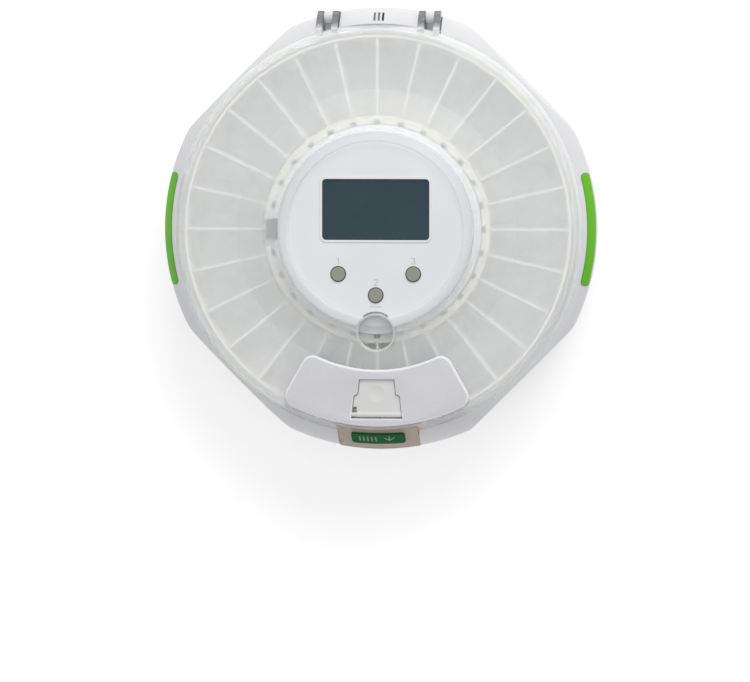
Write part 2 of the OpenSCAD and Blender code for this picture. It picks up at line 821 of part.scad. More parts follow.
module control_panel() {
    under = panel_z - panel_t;
    color("lavender") difference() {
        union() {
            // Crowned plate with a bevelled edge
            translate([0, 0, under]) cylinder(r = panel_r, h = panel_t - 0.6);
            translate([0, 0, panel_z - 0.61]) cylinder(r1 = panel_r, r2 = panel_r - 0.6, h = 0.61);
            tube(panel_r - 1.8, panel_r, hub_z, under + 0.1);
            // Raised frame around the display
            translate([0, display_y, panel_z - 0.1]) linear_extrude(0.5)
                round_rect(display_w + 2.4, display_h + 2.4, display_corner + 1.2);
        }
        translate([0, display_y, panel_z - display_sink - display_lens_t - 0.05]) linear_extrude(far)
            round_rect(display_w + 2 * seat_gap, display_h + 2 * seat_gap, display_corner + seat_gap);
        block(display_w - 4, display_h - 4, 0, far, [0, display_y]);
        for (p = key_places) translate([p[0], p[1], 0]) cylinder(d = key_d + 0.9, h = far);
        window_bite(0);
    }
}

module display_window() {
    color("darkslategray") translate([0, display_y, panel_z - display_sink - display_lens_t])
        linear_extrude(display_lens_t) round_rect(display_w, display_h, display_corner);
}

module buzzer() {
    color("black") difference() {
        translate([0, -buzzer_y, sensor_z - buzzer_h]) cylinder(d = 16, h = buzzer_h);
        translate([0, -buzzer_y, sensor_z - buzzer_h - over]) cylinder(d = 3, h = over + 2);
    }
}

module index_sensor() {
    // Its nose looks at the notches through the hub's wall, its body hangs under the board
    color("black") rotate(sensor_angle) {
        block(6, sensor_w, sensor_z - sensor_h, sensor_z - 0.2, [hub_r - 2.2, 0]);
        block(4, 12, sensor_z - 9, sensor_z, [hub_bore_r - 4, 0]);
    }
}

// The catch that keeps the tray down, with a ridged top
module tray_catch() {
    color("dimgray") difference() {
        union() {
            block(catch_out - catch_in, catch_w, catch_z, catch_top, [-(catch_out + catch_in) / 2, 0]);
            for (k = [0:2]) block(0.8, catch_w - 1.6, catch_top - 0.1, catch_top + catch_ridge,
                                  [-catch_out + 1.6 + 1.7 * k, 0]);
        }
        // Lead-in under its nose
        translate([-catch_out, 0, catch_z]) rotate([0, 45, 0])
            cube([1.2, catch_w + over, 1.2], center = true);
    }
}

// ---------------------------------------------------------------------------------- drive pieces

module gear_motor() {
    gearbox_h = 8;
    color("silver") difference() {
        union() {
            block(motor_d, motor_w, motor_z, motor_z + gearbox_h, [pinion_x, 0]);
            intersection() {
                translate([pinion_x, 0, motor_z + gearbox_h - 0.1])
                    cylinder(d = motor_w, h = motor_h - gearbox_h - 0.9);
                block(motor_d, motor_w, 0, far, [pinion_x, 0]);
            }
            translate([pinion_x, 0, motor_z + motor_h - 1.1]) cylinder(d = 4, h = 1);
        }
        translate([pinion_x, 0, motor_z - over]) cylinder(r = shaft_d / 2 + shaft_gap, h = 5 + over);
    }
}

module output_shaft() {
    color("lightgray") translate([pinion_x, 0, turntable_top + 0.2])
        cylinder(d = shaft_d, h = motor_z + 4.5 - turntable_top);
}

module drive_pinion() {
    color("ivory") difference() {
        translate([pinion_x, 0, turntable_top + 0.5]) linear_extrude(gear_face - 0.8) pinion_outline();
        translate([pinion_x, 0, 0]) cylinder(d = shaft_d, h = far);
    }
}

module turntable() {
    color("ivory") {
        difference() {
            union() {
                translate([0, 0, turntable_z]) cylinder(r = turntable_r, h = turntable_t);
                translate([0, 0, turntable_top - 0.1]) cylinder(r = gear_rim_r, h = gear_face + 0.1);
            }
            translate([0, 0, -over]) cylinder(r = hub_r + shaft_gap, h = far);
            translate([0, 0, turntable_top]) linear_extrude(far) ring_gear_bore();
            // Lightening windows between the drive lugs
            for (k = [0:5]) rotate(60 * k + 30) translate([gear_rim_r + turntable_w / 2, 0, 0])
                cylinder(d = turntable_w - 4, h = far);
        }
        // Three lugs that drive the tray
        for (k = [0:2]) rotate(120 * k)
            block(drive_lug_l, drive_lug_w, turntable_top - 0.1, tray_floor_top - 0.3, [drive_lug_reach, 0]);
    }
}

// ----------------------------------------------------------------------------------- tray pieces

module tray_floor() {
    color("cornsilk") difference() {
        union() {
            tube(inner_wall_r, tray_r, tray_z, tray_floor_top);
            // Runner ring that rides on the deck
            tube(tray_r - 8, tray_r - 6.5, deck_top + slide_gap, tray_z + 0.1);
        }
        // Slots that the turntable's lugs stand in
        for (k = [0:2]) rotate(120 * k)
            block(drive_lug_l + 2 * slide_gap, drive_lug_w + 2 * slide_gap, 0, far, [drive_lug_reach, 0]);
    }
}

module tray_outer_wall() {
    color("cornsilk") {
        tube(tray_r - tray_wall, tray_r, tray_floor_top, tray_top);
        // Cove along the foot, so that a pill rolls out under a finger
        rotate_extrude() difference() {
            translate([tray_r - tray_wall - cove_r, tray_floor_top]) square([cove_r + 0.2, cove_r]);
            translate([tray_r - tray_wall - cove_r, tray_floor_top + cove_r]) circle(r = cove_r);
        }
    }
}

module tray_inner_wall() {
    flange_t = 1.5;
    color("cornsilk") difference() {
        union() {
            tube(inner_wall_r, compartment_r, tray_floor_top, tray_top);
            tube(flange_r, inner_wall_r + 0.1, tray_top - flange_t, tray_top);
            // Gussets under the flange
            for (k = [0:compartments / 2 - 1]) rotate(90 + (2 * k + 0.5) * pitch_angle)
                translate([0, 0.5, tray_top - flange_t]) rotate([90, 0, 0]) linear_extrude(1)
                    polygon([[inner_wall_r + 0.1, -4], [inner_wall_r + 0.1, 0.1], [flange_r + 0.6, 0.1]]);
        }
        for (k = [0:compartments - 1]) rotate(90 + k * pitch_angle)
            block(2 * notch_depth, notch_w, tray_top - flange_t - over, far, [flange_r, 0]);
    }
}

module tray_dividers() {
    cove_x = tray_r - tray_wall - cove_r;
    joint = 0.06;
    color("cornsilk") intersection() {
        for (k = [0:compartments - 1]) rotate(90 + k * pitch_angle)
            translate([0, -divider_t / 2, 0]) cube([tray_r, divider_t, far]);
        rotate_extrude() difference() {
            translate([compartment_r + joint, tray_floor_top])
                square([cove_x + cove_r - compartment_r - 2 * joint, tray_depth - 0.4]);
            // The foot of a divider follows the cove
            difference() {
                translate([cove_x, tray_floor_top - over]) square([cove_r + over, cove_r + over]);
                translate([cove_x, tray_floor_top + cove_r]) circle(r = cove_r - joint);
            }
        }
    }
}

// ------------------------------------------------------------------------------------ lid pieces

module hinge_pins() {
    color("silver") for (s = [-1, 1]) translate([s * hinge_reach - pocket_w / 2 + 0.3, pin_y, pin_z])
        rotate([0, 90, 0]) cylinder(d = pin_d, h = pocket_w - 0.6);
}

// Frame of the round window: leans with the lid's rise, its middle on the lid's upper face
module window_frame() {
    translate([0, -window_reach, cone_top(window_reach)]) rotate([cone_angle, 0, 0]) children();
}

// Half section of the lid
module lid_section() {
    polygon([
        [lid_r, skirt_z],
        [skirt_top_r + 0.35, lid_top - 1.2],
        [skirt_top_r - 0.6, lid_top],
        [crease_r, lid_top],
        [lid_hole_r, cone_top(lid_hole_r)],
        [lid_hole_r, cone_top(lid_hole_r) - lid_wall],
        [crease_r, lid_under],
        [skirt_top_r - lid_wall, lid_under],
        [lid_r - lid_wall, skirt_z]
    ]);
}

// One ear of the lid, as a side outline. Its root bites into the skirt, also at its outer face.
module ear_outline() {
    translate([pin_y, pin_z]) circle(r = ear_r);
    polygon([[pin_y - ear_r, pin_z], [ear_root + 3.7, skirt_z + 0.3], [ear_root, lid_under - 1.5],
             [ear_root + 0.3, lid_top - 1.4], [ear_root + 3.2, lid_top - 1.4],
             [pin_y + 1.9, pin_z + ear_r - 0.6]]);
}

// The gap for the latch tongue, seen from the front, with the lid's corners beside it round
module latch_gap() {
    translate([-notch_front_w / 2, skirt_z - over]) square([notch_front_w, skirt_h - lid_wall + over]);
    for (s = [0, 1]) mirror([s, 0]) translate([notch_front_w / 2, skirt_z]) difference() {
        translate([-0.1, -over]) square([edge_round + 0.1, edge_round + over]);
        translate([edge_round, edge_round]) circle(r = edge_round);
    }
}

module lid() {
    color("aliceblue", 0.5) difference() {
        union() {
            difference() {
                rotate_extrude() lid_section();
                // Gap in the sloping edge for the latch tongue
                translate([0, 10 - well_outer_r, 0]) rotate([90, 0, 0]) linear_extrude(far) latch_gap();
            }
            for (s = [-1, 1], e = [-1, 1])
                translate([s * hinge_reach + e * (lug_w / 2 + ear_gap + ear_w / 2) - ear_w / 2, 0, 0])
                    rotate([90, 0, 90]) linear_extrude(ear_w) ear_outline();
            // Locating lip inside the well, at both sides of the latch
            for (s = [-1, 1]) rotate(-90 + s * 38) difference() {
                rotate_extrude() {
                    translate([tray_r + 0.7, skirt_z]) square([lid_r - tray_r - 1.2, 1.2]);
                    translate([tray_r + 0.7, skirt_z - 1.8]) square([well_r - tray_r - 1.1, 2]);
                }
                linear_extrude(far) difference() {
                    circle(r = far);
                    pie(2 * far, 22);
                }
            }
            // Stiffening ribs in front of the hinges
            for (s = [-1, 1]) block(lid_rib_t, lid_rib_l, lid_under - 0.3, lid_under + 0.2,
                                    [s * lid_rib_x, lid_rib_end - lid_rib_l / 2]);
        }
        for (s = [-1, 1]) translate([s * hinge_reach - far / 2, pin_y, pin_z]) rotate([0, 90, 0])
            cylinder(r = pin_d / 2 + shaft_gap, h = far);
        window_frame() translate([0, 0, -10]) cylinder(r = window_r + window_rim + seat_gap, h = 20);
        translate([0, 0, lid_under - over]) linear_extrude(lid_wall + 2 * over)
            keystone(chute_wall + seat_gap);
    }
}

module lid_collar() {
    foot_r = lid_hole_r - seat_gap;
    // The ring is open where the window's rim crosses it
    open_half = 0.6 * asin(window_r / window_reach);
    outer_r = collar_r + collar_w;
    lip_z = panel_z + slide_gap + 0.1;
    round_r = 1.1;
    color("white") difference() {
        rotate(open_half - 90) rotate_extrude(angle = 360 - 2 * open_half) {
            polygon([
                [collar_bore_r, hub_z + 0.6], [foot_r, hub_z + 0.6], [foot_r, cone_top(foot_r) + 0.1],
                [outer_r, cone_top(foot_r) + 0.1], [outer_r, collar_z - round_r],
                [outer_r - round_r, collar_z], [collar_r + round_r, collar_z],
                [collar_r, collar_z - round_r], [collar_r, lip_z], [collar_bore_r, lip_z]
            ]);
            for (r = [collar_r + round_r, outer_r - round_r]) translate([r, collar_z - round_r])
                circle(r = round_r);
        }
        window_frame() translate([0, 0, -far / 2]) cylinder(r = window_r + window_rim + seat_gap, h = far);
    }
}

module window_bezel() {
    color("white") window_frame() difference() {
        translate([0, 0, 1.2 - window_t]) cylinder(r = window_r + window_rim, h = window_t);
        translate([0, 0, -10]) cylinder(r = window_r + seat_gap, h = 20);
    }
}

module view_window() {
    color("lightcyan", 0.4) window_frame() {
        translate([0, 0, 1.6 - window_t]) cylinder(r = window_r, h = 1.6);
    }
}

module outlet_plate() {
    chute_z = lid_under + 0.1;
    color("lavender") difference() {
        union() {
            translate([0, 0, lid_top]) rotate(-90) linear_extrude(plate_t)
                plate_outline(plate_r, skirt_top_r - 0.6 - plate_margin, plate_half, plate_corner);
            translate([0, 0, chute_z]) linear_extrude(lid_top + 0.1 - chute_z) keystone(chute_wall);
        }
        translate([0, 0, chute_z - over]) linear_extrude(far) keystone(0);
        // Bores for the flap's pivots
        translate([-outlet_half_out - 1, -pivot_y, pivot_z]) rotate([0, 90, 0])
            cylinder(r = pivot_d / 2 + shaft_gap, h = 2 * outlet_half_out + 2);
    }
}

module outlet_flap() {
    half = outlet_half_out - slide_gap - 0.4;
    finger_w = 2.8;
    color("gainsboro") {
        difference() {
            translate([0, 0, flap_z]) linear_extrude(flap_t) keystone(-slide_gap);
            // Finger hollow
            translate([0, -outlet_in - 7, flap_z + flap_t + 16]) sphere(r = 16.5);
            // The pivot end is round, so that the flap can swing up
            translate([-far / 2, -outlet_out - 1, flap_z - over]) cube([far, 3, flap_t + 2 * over]);
            // Finger notch at its left corner
            translate([-outlet_half_out, 1 - pivot_y, flap_z - over])
                cube([finger_w, finger_w, flap_t + 2 * over]);
        }
        translate([finger_w - outlet_half_out, -pivot_y, pivot_z]) rotate([0, 90, 0])
            cylinder(d = pivot_d + 0.6, h = outlet_half_out - finger_w + half);
        translate([-outlet_half_out - 0.8, -pivot_y, pivot_z]) rotate([0, 90, 0])
            cylinder(d = pivot_d, h = 2 * outlet_half_out + 1.6);
    }
}

// Half section of the latch tongue
module tongue_section() {
    foot_top = tongue_foot_z + tongue_foot_h;
    polygon([
        [tongue_top_r - tongue_t, tongue_top_z],
        [tongue_top_r, tongue_top_z],
        [end_lobe_r, foot_top],
        [end_lobe_r, tongue_foot_z],
        [end_lobe_r - tongue_t, tongue_foot_z],
        [end_lobe_r - tongue_t, foot_top - 0.6]
    ]);
}

module latch_tongue() {
    color("rosybrown", 0.6) intersection() {
        rotate_extrude() tongue_section();
        translate([-tongue_w / 2, -far, 0]) cube([tongue_w, far - well_outer_r + 10, far]);
    }
}

// The pad lies on the tongue and bends with it
module press_pad() {
    slope = atan2(tongue_rise, tongue_run);
    out_x = sin(slope);
    out_z = cos(slope);
    color("darkgreen") intersection() {
        rotate_extrude() polygon([for (p = [[0, 0.02], [1, 0.02], [1, pad_t], [0, pad_t]])
            [tongue_top_r + p[0] * tongue_run + p[1] * out_x,
             tongue_top_z - p[0] * tongue_rise + p[1] * out_z]]);
        translate([0, -tongue_top_r - pad_place * tongue_run, tongue_top_z - pad_place * tongue_rise])
            rotate([slope, 0, 0]) translate([0, 0, -5]) linear_extrude(10) round_rect(pad_w, pad_h, 1.8);
    }
}

outer_shell();
trim_strip_left();
trim_strip_right();
tray_well();
bottom_cover();
battery_door();
rubber_feet();
case_screws();
battery_cells();
battery_contacts();
hub_housing();
board_screws();
control_panel();
display_window();
display_module();
circuit_board();
button_membrane();
button_left();
button_middle();
button_right();
buzzer();
index_sensor();
tray_catch();
gear_motor();
output_shaft();
drive_pinion();
turntable();
tray_floor();
tray_outer_wall();
tray_inner_wall();
tray_dividers();
hinge_pins();
lid();
lid_collar();
view_window();
window_bezel();
outlet_plate();
outlet_flap();
latch_tongue();
press_pad();
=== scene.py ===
"""Automatic pill dispenser: materials, fine pieces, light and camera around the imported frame.

Lengths of materials, light and camera are in metres, and those of the added pieces in millimetres.
"""

import math

import bmesh
import bpy
from mathutils import Matrix, Vector
from mathutils.bvhtree import BVHTree


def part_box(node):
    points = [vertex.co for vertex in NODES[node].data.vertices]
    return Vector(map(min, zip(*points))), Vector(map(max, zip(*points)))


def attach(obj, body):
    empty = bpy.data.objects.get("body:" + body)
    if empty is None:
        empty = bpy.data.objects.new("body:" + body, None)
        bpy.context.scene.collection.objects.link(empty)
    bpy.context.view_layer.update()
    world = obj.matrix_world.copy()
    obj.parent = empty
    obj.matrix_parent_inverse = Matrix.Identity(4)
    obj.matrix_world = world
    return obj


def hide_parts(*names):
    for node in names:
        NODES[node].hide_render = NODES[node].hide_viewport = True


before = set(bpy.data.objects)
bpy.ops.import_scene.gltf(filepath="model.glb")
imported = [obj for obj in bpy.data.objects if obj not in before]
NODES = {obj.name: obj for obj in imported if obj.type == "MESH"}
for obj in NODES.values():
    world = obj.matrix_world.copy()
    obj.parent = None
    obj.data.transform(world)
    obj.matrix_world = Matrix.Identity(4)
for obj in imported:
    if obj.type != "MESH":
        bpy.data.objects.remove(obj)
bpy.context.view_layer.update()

MM = 0.001
MICRON = 0.000001

# What most finishes share: patches of colour and of gloss, and the sparked grain of moulded plastic
CLOUD = 30 * MM
WEAR = 6 * MM
GRAIN = 0.4 * MM
RELIEF = 4 * MICRON
PLASTIC_IOR = 1.46
EDGE_SAMPLES = 4
MILK_GLOW = 0.35  # how much of a milky skin's light comes through it instead of off it


# ---------------------------------------------------------------- colours and shader helpers


def linear(r, g, b):
    """An sRGB colour of 0 to 255 as linear values."""
    out = []
    for v in (r, g, b):
        v = v / 255
        out.append(v / 12.92 if v <= 0.04045 else ((v + 0.055) / 1.055) ** 2.4)
    return tuple(out)


def scaled(colour, factor):
    """A linear colour made darker or lighter, white at most."""
    return tuple(min(1.0, v * factor) for v in colour)


class Nodes:
    """A node tree, with short calls for its nodes."""

    def __init__(self, tree):
        self.tree = tree
        tree.nodes.clear()

    def feed(self, socket, value):
        """Give an input another node's output, a colour or a plain value."""
        if hasattr(value, "is_output"):
            self.tree.links.new(value, socket)
        elif isinstance(value, tuple) and socket.type == "RGBA":
            socket.default_value = (*value, 1)
        else:
            socket.default_value = value

    def node(self, kind, feeds=None, **settings):
        """A new node with its settings, and with inputs fed by their name or number."""
        n = self.tree.nodes.new(kind)
        for key, value in settings.items():
            setattr(n, key, value)
        for key, value in (feeds or {}).items():
            self.feed(n.inputs[key], value)
        return n

    def calc(self, kind, *values):
        """Arithmetic on sockets or numbers."""
        return self.node("ShaderNodeMath", dict(enumerate(values)), operation=kind).outputs[0]

    def blend(self, value, a, b):
        """Shader a, taken over by shader b by value."""
        return self.node("ShaderNodeMixShader", {0: value, 1: a, 2: b}).outputs[0]

    def sight(self, strength, glossy=1.0):
        """strength for the camera's rays and through clear parts, glossy of it for reflections,
        and 0 for the rays that light the scene.
        """
        path = self.node("ShaderNodeLightPath").outputs
        shine = self.calc("MULTIPLY", path["Is Glossy Ray"], glossy)
        looking = self.calc("MAXIMUM", path["Is Camera Ray"], shine)
        looking = self.calc("MAXIMUM", looking, path["Is Transmission Ray"])
        return self.calc("MULTIPLY", looking, strength)


class Shader(Nodes):
    """A material, with short calls for what the finishes share."""

    def __init__(self, name):
        self.mat = bpy.data.materials.new(name)
        self.mat.use_nodes = True
        super().__init__(self.mat.node_tree)
        self.place = self.node("ShaderNodeTexCoord").outputs["Object"]

    def along(self, axis, vector=None):
        """The X, Y or Z of a vector, or of the place on the object if none is given."""
        feeds = {0: self.place if vector is None else vector}
        return self.node("ShaderNodeSeparateXYZ", feeds).outputs[axis]

    def radius(self):
        """Distance from the object's upright axis."""
        flat = self.node("ShaderNodeMapping", {"Vector": self.place, "Scale": (1, 1, 0)})
        far = self.node("ShaderNodeVectorMath", {0: flat.outputs[0]}, operation="LENGTH")
        return far.outputs["Value"]

    def noise(self, size, detail=3.0, rough=0.5, stretch=None):
        """Noise with features about size across, packed closer along an axis by stretch."""
        place = self.place
        if stretch:
            place = self.node("ShaderNodeMapping", {"Vector": place, "Scale": stretch}).outputs[0]
        feeds = {"Vector": place, "Scale": 1.0 / size, "Detail": detail, "Roughness": rough}
        return self.node("ShaderNodeTexNoise", feeds).outputs["Fac"]

    def ramp(self, value, low, high, start=0.3, end=0.7):
        """value carried from start..end to low..high."""
        feeds = {"Value": value, "From Min": start, "From Max": end, "To Min": low, "To Max": high}
        return self.node("ShaderNodeMapRange", feeds).outputs["Result"]

    def past(self, value, limit, blur):
        """0 up to the limit, and 1 from blur beyond it."""
        return self.ramp(value, 0, 1, limit, limit + blur)

    def within(self, value, limit, blur):
        """1 up to the limit, and 0 from blur beyond it."""
        return self.ramp(value, 1, 0, limit, limit + blur)

    def mix(self, value, a, b):
        """A colour between a and b by value."""
        n = self.node("ShaderNodeMix", {"Factor": value, "A": a, "B": b}, data_type="RGBA")
        return n.outputs["Result"]

    def clouded(self, dark, light, size=CLOUD, detail=2.0):
        """A colour that drifts between dark and light over patches of about a size."""
        return self.mix(self.ramp(self.noise(size, detail), 0, 1), dark, light)

    def drifting(self, low, high, size=WEAR, detail=4.0):
        """A roughness that drifts between low and high over patches of about a size."""
        return self.ramp(self.noise(size, detail), low, high)

    def edge(self, radius):
        """Normals rounded over the sharp edges."""
        return self.node("ShaderNodeBevel", {"Radius": radius}, samples=EDGE_SAMPLES).outputs[0]

    def bump(self, height, depth, normal=None):
        """Normals of a relief of a depth, over other normals if any are given."""
        feeds = {"Height": height, "Distance": depth, "Strength": 1.0}
        if normal is not None:
            feeds["Normal"] = normal
        return self.node("ShaderNodeBump", feeds).outputs["Normal"]

    def grained(self, edge=0, size=GRAIN, depth=RELIEF, detail=2.0):
        """Normals of fine grain, with the edges rounded where a radius is given."""
        return self.bump(self.noise(size, detail), depth, self.edge(edge) if edge else None)

    def principled(self, values):
        return self.node("ShaderNodeBsdfPrincipled", values).outputs["BSDF"]

    def plastic(self, colour, low, high, normal, **more):
        """Plastic whose roughness drifts between low and high."""
        return self.principled(
            {
                "Base Color": colour,
                "Roughness": self.drifting(low, high),
                "Normal": normal,
                "IOR": PLASTIC_IOR,
                **more,
            }
        )

    def done(self, shader):
        """The material, finished with a shader."""
        self.node("ShaderNodeOutputMaterial", {"Surface": shader})
        return self.mat


# ---------------------------------------------------------------- finishes of many slots


def moulded(
    name, rgb, rough=0.4, grain=GRAIN, depth=RELIEF, edge=0.3 * MM, spread=0.03, specular=0.5
):
    """Moulded plastic: faint cloudy colour, fine sparked grain, softened edges."""
    s = Shader(name)
    base = linear(*rgb)
    colour = s.clouded(scaled(base, 1 - spread), scaled(base, 1 + spread * 0.6))
    normal = s.grained(edge, grain, depth)
    more = {"Specular IOR Level": specular}
    return s.done(s.plastic(colour, rough - 0.05, rough + 0.06, normal, **more))


def metal(name, rgb, rough=0.3, stretch=(1, 1, 1)):
    """Bare metal with fine drawn lines, packed closer along an axis by stretch."""
    s = Shader(name)
    base = linear(*rgb)
    lines = s.noise(0.3 * MM, 3.0, 0.6, stretch)
    values = {
        "Base Color": s.mix(s.ramp(lines, 0, 1), scaled(base, 0.85), base),
        "Metallic": 1.0,
        "Roughness": s.drifting(rough - 0.07, rough + 0.1, 3 * MM, 3.0),
        "Normal": s.bump(lines, 3 * MICRON, s.edge(0.1 * MM)),
    }
    return s.done(s.principled(values))


def frosted(
    name,
    tint,
    milk_rgb,
    milk,
    rough,
    shade=0.9,
    depth=RELIEF,
    edge=0.6 * MM,
    ears=None,
    rim=None,
    core=None,
):
    """Frosted or clear plastic: a blurred view through it, with some milk in it.

    tint colours the view, milk is the share of the milky skin, and shade is how much lamp light
    passes. ears is (y, colour), and past that y the milk takes the colour. rim is (radius, colour),
    the same past a radius. core is (radius, less), with less milk up to that radius.
    """
    s = Shader(name)
    normal = s.grained(edge, depth=depth)
    even = s.drifting(rough - 0.03, rough + 0.04, 8 * MM, 3.0)
    surface = {"Roughness": even, "IOR": PLASTIC_IOR, "Normal": normal}
    glass = s.principled({"Base Color": tint, "Transmission Weight": 1.0, **surface})
    white = linear(*milk_rgb)
    colour = s.clouded(scaled(white, 0.97), white, 40 * MM)
    amount = s.drifting(milk - 0.02, milk + 0.02, 12 * MM, 3.0)
    if ears:
        colour = s.mix(s.past(s.along("Y"), ears[0], 1.5 * MM), colour, linear(*ears[1]))
    if rim:
        colour = s.mix(s.past(s.radius(), rim[0], 1.2 * MM), colour, linear(*rim[1]))
    if core:
        less = s.ramp(s.radius(), core[1], 0, core[0], core[0] + 1 * MM)
        amount = s.calc("SUBTRACT", amount, less)
    skin = s.principled({"Base Color": colour, **surface})
    glow = s.node("ShaderNodeBsdfTranslucent", {"Color": colour}).outputs[0]
    body = s.blend(amount, glass, s.blend(MILK_GLOW, skin, glow))
    lamp_light = s.node("ShaderNodeBsdfTransparent", {"Color": (shade, shade, shade)}).outputs[0]
    path = s.node("ShaderNodeLightPath").outputs
    return s.done(s.blend(path["Is Shadow Ray"], body, lamp_light))


# ---------------------------------------------------------------- finishes of one slot


def lens_finish(name):
    """Dark display lens: glossy, with faint clouds in its colour."""
    s = Shader(name)
    values = {
        "Base Color": s.clouded(linear(34, 58, 70), linear(40, 64, 76), 20 * MM),
        "Roughness": s.drifting(0.1, 0.16, 10 * MM, 3.0),
        "Normal": s.grained(0.2 * MM, 2 * MM, 1 * MICRON),
        "IOR": 1.5,
    }
    return s.done(s.principled(values))


CELL_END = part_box("battery_cells")[1].x - 1.25 * MM  # where the wrap ends, on both sides


def cell_finish(name):
    """Battery wrap with bare metal ends."""
    s = Shader(name)
    end = s.past(s.calc("ABSOLUTE", s.along("X")), CELL_END, 0.2 * MM)
    values = {
        "Base Color": s.mix(end, linear(38, 74, 128), linear(196, 196, 192)),
        "Metallic": end,
        "Roughness": s.drifting(0.28, 0.4, 2 * MM, 3.0),
        "Normal": s.grained(0.2 * MM, 0.8 * MM),
    }
    return s.done(s.principled(values))


# The case's two hinge pockets, where shade is painted, each with a lug in its middle: place,
# widths, front and floor
HINGE_REACH, POCKET_W, LUG_W = 25.4 * MM, 11.6 * MM, 4.2 * MM
POCKET_Y, POCKET_Z = 98.5 * MM, 27.3 * MM
WALL = 0.02 * MM  # takes the pocket's side walls in


def shell_finish(name):
    """Case plastic: white, with painted shade in the hinge pockets."""
    s = Shader(name)
    off = s.calc("ABSOLUTE", s.calc("SUBTRACT", s.calc("ABSOLUTE", s.along("X")), HINGE_REACH))
    pocket_shade = s.within(off, POCKET_W / 2 + WALL, 0.1 * MM)
    for limit in (
        s.past(off, LUG_W / 2, 0.2 * MM),
        s.past(s.along("Y"), POCKET_Y, 0.5 * MM),
        s.past(s.along("Z"), POCKET_Z, 0.3 * MM),
    ):
        pocket_shade = s.calc("MULTIPLY", pocket_shade, limit)
    cloud = s.clouded(linear(230, 230, 232), linear(235, 235, 237))
    # painted shade: the pockets' walls and floor, but not the lug, are coloured grey
    colour = s.mix(pocket_shade, cloud, linear(166, 166, 170))
    return s.done(s.plastic(colour, 0.31, 0.42, s.grained(0.5 * MM)))


PLATE_HIGHLIGHT_RIM = 0.93  # the painted highlight lies on the rim, where the upright share of the plate's normals is less


def plate_finish(name):
    """Outlet plate: lilac-grey face, with a painted highlight of white on its rounded rim."""
    s = Shader(name)
    upright = s.along("Z", s.node("ShaderNodeTexCoord").outputs["Normal"])
    face = s.clouded(linear(222, 221, 227), linear(228, 227, 232))
    # painted highlight: where the normals lean over the rounded rim, the colour turns white
    colour = s.mix(s.within(upright, PLATE_HIGHLIGHT_RIM, 0.045), face, linear(250, 250, 251))
    return s.done(s.plastic(colour, 0.24, 0.32, s.grained()))


RINGS_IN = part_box("tray_inner_wall")[1].x + 2.1 * MM  # the tray's thick rings end and begin here
RINGS_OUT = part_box("tray_outer_wall")[1].x - 2.8 * MM


def tray_finish(name):
    """Tray plastic: neutral in the compartments, creamier in its thick rings."""
    s = Shader(name)
    r = s.radius()
    rings = s.calc("MAXIMUM", s.past(r, RINGS_OUT, 0.6 * MM), s.within(r, RINGS_IN, 0.7 * MM))
    plain = s.clouded(linear(244, 245, 245), linear(248, 249, 249))
    colour = s.mix(rings, plain, linear(243, 242, 226))
    return s.done(s.plastic(colour, 0.38, 0.48, s.grained(0.4 * MM)))


# ---------------------------------------------------------------- a finish for every slot

LID_EARS = (99.5 * MM, (160, 160, 164))  # past this y the ears' milk is greyer: partly the thicker plastic's own tone, partly painted shade from the pockets behind them
LID_CORE = (56.5 * MM, 0.07)  # clearer up to this radius, which lets the catch be seen
# Past this radius the collar's milk is greyer: painted shade on its outer slope, beyond the lit
# crest
COLLAR_SHADED_RIM = (47.0 * MM, (238, 240, 242))

